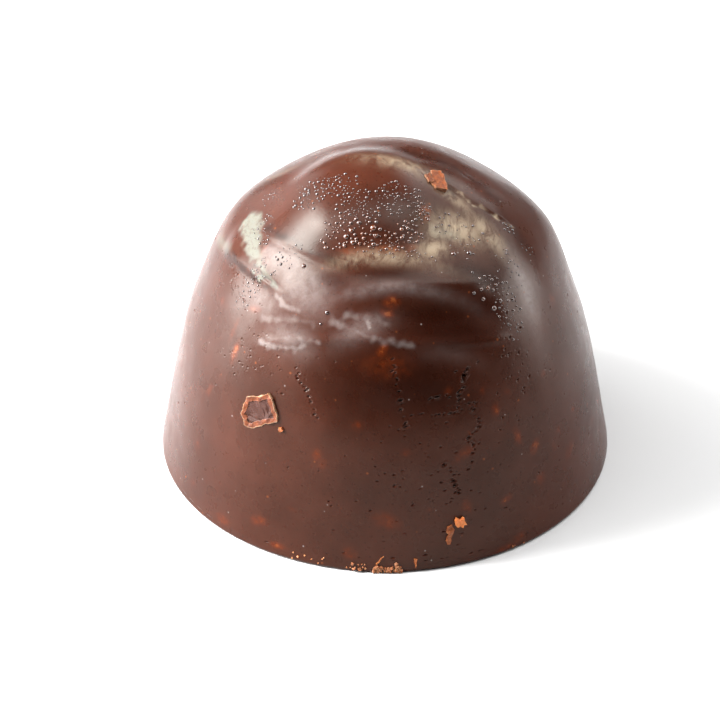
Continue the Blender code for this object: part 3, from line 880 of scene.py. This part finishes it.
def standOn(place, normal):
    # turns a flat shape drawn across and up to lie on the surface, seen from outside
    across = Vector((0, 0, 1)).cross(normal).normalized()
    upwards = normal.cross(across)
    turn = Matrix((across, upwards, normal)).transposed().to_4x4()
    return Matrix.Translation(place) @ turn


def footGrains(tree):
    draw = random.Random(crumbShape["seed"])
    shape = bmesh.new()
    fresh = shape.verts.layers.float.new("fresh")
    rim = shape.verts.layers.float.new("rim")
    for azimuths, heights, count, sizes, tone in footCrumbs.values():
        for _ in range(count):
            place, out = surfacePlace(tree, draw.uniform(*azimuths), draw.uniform(*heights))
            radius = draw.uniform(*sizes) * mm / 2
            stretch = Matrix.Diagonal([draw.uniform(*span) for span in crumbShape["stretch"]] + [1])
            made = bmesh.ops.create_icosphere(
                shape, subdivisions=1, radius=radius,
                matrix=standOn(place + out * radius * crumbShape["sunk"], out)
                @ Matrix.Rotation(draw.uniform(0, math.pi), 4, "Z") @ stretch)
            for vertex in made["verts"]:
                shift = Vector([draw.uniform(-1, 1) for _ in range(3)])
                vertex.co += shift * radius * crumbShape["rough"]
                vertex.co.z = max(vertex.co.z, 0)
                vertex[fresh] = tone * draw.uniform(*crumbShape["fresh"])
                vertex[rim] = tone * draw.uniform(*crumbShape["rim"])
    mesh = bpy.data.meshes.new("crumbs")
    shape.to_mesh(mesh)
    shape.free()
    return mesh


def nutFlakes(tree):
    noise.seed_set(flakeShape["seed"])      # without it noise_vector differs from run to run
    whole = bmesh.new()
    for name, piece in nutPieces.items():
        shape = bmesh.new()
        rim = shape.verts.layers.float.new("rim")
        core = shape.verts.layers.float.new("core")
        fresh = shape.verts.layers.float.new("fresh")
        corners = [shape.verts.new((x * mm, y * mm, -flakeShape["sunk"] * mm)) for x, y in piece["outline"]]
        face = shape.faces.new(corners)
        face.normal_update()
        if face.normal.z < 0:
            face.normal_flip()
        sides = bmesh.ops.extrude_face_region(shape, geom=[face])
        top = [v for v in sides["geom"] if isinstance(v, bmesh.types.BMVert)]
        bmesh.ops.translate(shape, verts=top, vec=(0, 0, (piece["proud"] + flakeShape["sunk"]) * mm))
        upper = [f for f in sides["geom"] if isinstance(f, bmesh.types.BMFace)]
        for vertex in top:
            vertex[rim] = piece.get("pale", 0.0)
        if "rim" in piece:
            for thickness in (flakeShape["edge"], piece["rim"], flakeShape["edge"]):
                bmesh.ops.inset_region(shape, faces=upper, thickness=thickness * mm, depth=0)
                for vertex in upper[0].verts:
                    vertex[rim] = 0.0
            for vertex in upper[0].verts:
                vertex.co.z -= piece["bowl"] * mm
                vertex[core] = piece.get("core", 0.0)
        bmesh.ops.triangulate(shape, faces=shape.faces)
        bmesh.ops.subdivide_edges(shape, edges=shape.edges[:], cuts=flakeShape["cuts"], use_grid_fill=True)
        for vertex in shape.verts:
            noisePlace = vertex.co / (flakeShape["roughSize"] * mm) + Vector(piece["at"] + (0,))
            vertex.co += noise.noise_vector(noisePlace) * (flakeShape["rough"] * mm)
            vertex[fresh] = piece.get("fresh", 0.0)
        place, out = surfacePlace(tree, *piece["at"])
        bmesh.ops.transform(shape, matrix=standOn(place, out), verts=shape.verts)
        bmesh.ops.recalc_face_normals(shape, faces=shape.faces)
        flake = bpy.data.meshes.new(name)
        shape.to_mesh(flake)
        shape.free()
        whole.from_mesh(flake)
        bpy.data.meshes.remove(flake)
    crumbs = footGrains(tree)
    whole.from_mesh(crumbs)
    bpy.data.meshes.remove(crumbs)
    mesh = bpy.data.meshes.new("nutFlakes")
    whole.to_mesh(mesh)
    whole.free()
    return mesh


# Small beads of moisture: clusters over an ellipse in the plan view (centre x, y, half length,
# half breadth), how many, their size, and how far they glow warm
# the warm orange is partly the nut seen through the drops and partly a painted glow of light passing through
# them
beadClusters = {
    "moundLeft": (-4.7, -2.9, 1.3, 1.2, 60, (0.08, 0.27), 0.0),
    "moundTop": (-3.0, -3.0, 1.3, 1.0, 44, (0.08, 0.25), 0.0),
    "moundMiddle": (-1.1, -4.7, 2.2, 1.1, 90, (0.07, 0.24), 0.15),
    "moundRight": (1.2, -4.2, 1.7, 1.3, 80, (0.07, 0.25), 0.25),
    "moundFront": (-2.2, -5.7, 1.8, 0.6, 40, (0.09, 0.30), 0.4),
    "moundFoot": (-2.5, -6.5, 1.7, 0.6, 38, (0.12, 0.38), 0.7),
    "middleFoot": (-0.2, -6.8, 1.5, 0.55, 40, (0.10, 0.32), 0.8),
    "rightFoot": (1.5, -6.1, 0.9, 0.6, 24, (0.15, 0.30), 0.8),
    "glowSide": (2.3, -4.6, 0.5, 0.8, 12, (0.14, 0.26), 0.9),
    "underVeil": (0.6, -7.2, 2.6, 0.4, 40, (0.07, 0.15), 0.5),
    "veil": (4.6, -5.0, 1.5, 1.5, 34, (0.08, 0.20), 0.2),
    "rightShoulder": (7.0, -7.5, 1.2, 0.9, 40, (0.10, 0.34), 0.35),
    "rightLow": (7.9, -7.4, 0.9, 1.2, 30, (0.10, 0.26), 0.15),
    "rightEdge": (7.9, -5.6, 0.9, 1.2, 24, (0.08, 0.20), 0.1),
    "stepFoot": (7.9, -2.9, 0.5, 0.35, 9, (0.16, 0.28), 0.0),
    "stepLower": (8.9, -3.2, 0.7, 0.5, 7, (0.10, 0.20), 0.0),
    "leftGroove": (-7.9, -3.0, 0.7, 1.6, 34, (0.08, 0.20), 0.1),
    "leftBack": (-7.6, -0.4, 0.5, 0.8, 16, (0.08, 0.18), 0.0),
    "leftRidge": (-6.3, -6.2, 1.2, 0.8, 26, (0.08, 0.24), 0.0),
    "leftGrain": (-8.5, -6.0, 1.2, 0.8, 50, (0.08, 0.20), 0.1),
}
# Drops that stand alone, in the plan view: x, y, size, how warm
singleDrops = [
    (4.3, -6.4, 0.34, 0.5), (5.3, -5.9, 0.36, 0.1), (6.2, -4.2, 0.20, 0.3), (5.5, -7.1, 0.20, 0.0),
    (6.5, -7.5, 0.32, 0.8), (7.4, -6.7, 0.26, 0.1), (5.6, -8.2, 0.26, 0.0), (6.9, -8.1, 0.40, 0.2),
    (8.1, -7.0, 0.30, 0.2), (7.3, -7.6, 0.34, 0.4), (-5.2, -7.1, 0.34, 0.3), (-3.7, -9.6, 0.30, 0.1),
    (-4.1, -9.9, 0.20, 0.1), (-4.6, -4.3, 0.24, 0.0), (-2.5, -6.6, 0.42, 0.6), (-0.8, -6.3, 0.42, 0.8),
    (-1.7, -6.0, 0.34, 0.3), (2.7, -4.9, 0.28, 0.7), (1.0, -6.1, 0.30, 0.9), (4.0, -3.9, 0.20, 0.5),
]
beadShape = {"seed": 21, "sides": 10, "rings": 6, "sunk": 0.30, "gap": 0.62, "tries": 8,
             "smallness": 2.2,      # a higher power gives more small beads
             "glow": (0.3, 1.0), "above": 30}


def beadCluster(tree, draw, cluster, taken):
    x, y, length, breadth, count, (small, large), glow = cluster
    gap = beadShape["gap"]
    shape = bmesh.new()
    warm = shape.verts.layers.float.new("warm")
    for _ in range(count):
        size = (small + (large - small) * draw.random() ** beadShape["smallness"]) * mm
        for _ in range(beadShape["tries"]):
            angle = draw.uniform(0, 2 * math.pi)
            far = math.sqrt(draw.random())
            start = Vector((x + length * far * math.cos(angle), y + breadth * far * math.sin(angle),
                            beadShape["above"])) * mm
            place, normal, _, _ = tree.ray_cast(start, Vector((0, 0, -1)))
            if all((place - other).length > (size + otherSize) * gap for other, otherSize in taken):
                break
        taken.append((place, size))
        glowHere = glow * draw.uniform(*beadShape["glow"])
        made = bmesh.ops.create_uvsphere(
            shape, u_segments=beadShape["sides"], v_segments=beadShape["rings"], radius=size / 2,
            matrix=Matrix.Translation(place - normal * size * beadShape["sunk"] / 2))
        for vertex in made["verts"]:
            vertex[warm] = glowHere
    mesh = bpy.data.meshes.new("cluster")
    shape.to_mesh(mesh)
    shape.free()
    return mesh


def dewBeads(tree):
    draw = random.Random(beadShape["seed"])
    whole = bmesh.new()
    taken = []
    clusters = [(x, y, 0, 0, 1, (size, size), warm) for x, y, size, warm in singleDrops]
    clusters += beadClusters.values()
    for cluster in clusters:
        part = beadCluster(tree, draw, cluster, taken)
        whole.from_mesh(part)
        bpy.data.meshes.remove(part)
    mesh = bpy.data.meshes.new("dewBeads")
    whole.to_mesh(mesh)
    whole.free()
    mesh.shade_smooth()
    return mesh


# Studio: a pale floor, soft lights and a camera at the photograph's angle
studio = {
    "floorSize": 4000,
    "floor": (0.57, 0.57, 0.57, 1),
    "floorRoughness": 0.9,
    "world": (1.0, 1.0, 1.0, 1),
    "worldStrength": 0.02,
    "lightSize": 90,
    "lightDistance": 200,
    "lightAim": 8,              # the height that the lights point at
}
softLights = {   # azimuth, elevation, watts
    "keyHigh": (-90, 38, 1.50),
    "keyLow": (-96, 12, 0.76),
    "keyBack": (-118, 38, 0.14),
    "keyFront": (-60, 12, 0.13),
    "backLeft": (-142, 18, 0.07),
    "topLeft": (-80, 66, 0.13),
    "top": (0, 88, 0.10),
    "backRight": (148, 34, 0.11),
    "rightHigh": (114, 38, 0.12),
    "rightLow": (98, 12, 0.26),
    "topRight": (85, 65, 0.18),
}
cameraPlace = {"elevation": 35.41, "distance": 240.0, "right": -1.72, "up": 5.25, "lens": 176.6,
               "sensor": 36, "near": 1, "far": 10000}


def addFloor():
    shape = bmesh.new()
    bmesh.ops.create_grid(shape, x_segments=1, y_segments=1, size=studio["floorSize"] * mm / 2)
    mesh = bpy.data.meshes.new("studioFloor")
    shape.to_mesh(mesh)
    shape.free()
    material, tree, _ = newMaterial("plainFloor")
    shader = node(tree, "ShaderNodeBsdfPrincipled", {
        "Base Color": studio["floor"], "Roughness": studio["floorRoughness"]})
    finishMaterial(tree, shader)
    mesh.materials.append(material)
    floor = bpy.data.objects.new("studioFloor", mesh)
    bpy.context.scene.collection.objects.link(floor)


def addLights():
    world = bpy.data.worlds.new("studio")
    world.use_nodes = True
    background = world.node_tree.nodes["Background"]
    background.inputs["Color"].default_value = studio["world"]
    background.inputs["Strength"].default_value = studio["worldStrength"]
    bpy.context.scene.world = world
    for name, (azimuth, elevation, power) in softLights.items():
        lamp = bpy.data.lights.new(name, "AREA")
        lamp.size = studio["lightSize"] * mm
        lamp.energy = power
        thing = bpy.data.objects.new(name, lamp)
        a = math.radians(azimuth)
        e = math.radians(elevation)
        away = Vector((math.sin(a) * math.cos(e), -math.cos(a) * math.cos(e), math.sin(e)))
        thing.location = away * studio["lightDistance"] * mm + Vector((0, 0, studio["lightAim"] * mm))
        thing.rotation_euler = away.to_track_quat("Z", "Y").to_euler()
        bpy.context.scene.collection.objects.link(thing)


def addCamera():
    tilt = math.radians(cameraPlace["elevation"])
    up = Vector((0, math.sin(tilt), math.cos(tilt)))
    place = Vector((0, -math.cos(tilt), math.sin(tilt))) * cameraPlace["distance"]
    aim = Vector((cameraPlace["right"], 0, 0)) + up * cameraPlace["up"]
    camera = bpy.data.cameras.new("photoView")
    camera.lens = cameraPlace["lens"]
    camera.sensor_width = cameraPlace["sensor"]
    camera.clip_start = cameraPlace["near"] * mm
    camera.clip_end = cameraPlace["far"] * mm
    thing = bpy.data.objects.new("photoView", camera)
    thing.location = place * mm
    thing.rotation_euler = (place - aim).to_track_quat("Z", "Y").to_euler()
    bpy.context.scene.collection.objects.link(thing)
    bpy.context.scene.camera = thing
    bpy.context.scene.view_settings.view_transform = "Standard"


addCamera()
addLights()
addFloor()
print("studio ready")

pits = makePits()
print(len(pits), "pits")
bodyMesh, bodyPoints = chocolateBody(pits)
# paints the deep painted shade, the bloom, and the frost and cream marks that are partly painted highlight
for kind in ("deep", "bloom", "frostAndPaintedHighlight", "creamAndPaintedHighlight"):
    amount = markAmount(bodyPoints, kind)
    if kind in veils:
        amount = np.maximum(amount, veilAmount(bodyPoints, kind))
    paintAttribute(bodyMesh, kind, amount)
paintAttribute(bodyMesh, "nut", nutAmount(bodyPoints))
chocolate = addPiece("pralineBody", bodyMesh, chocolateMaterial())
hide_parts("praline")

surfaceShape = bmesh.new()
surfaceShape.from_mesh(bodyMesh)
surface = BVHTree.FromBMesh(surfaceShape)
surfaceShape.free()
addPiece("nutFlakes", nutFlakes(surface), nutMaterial())
addPiece("dewBeads", dewBeads(surface), beadMaterial())
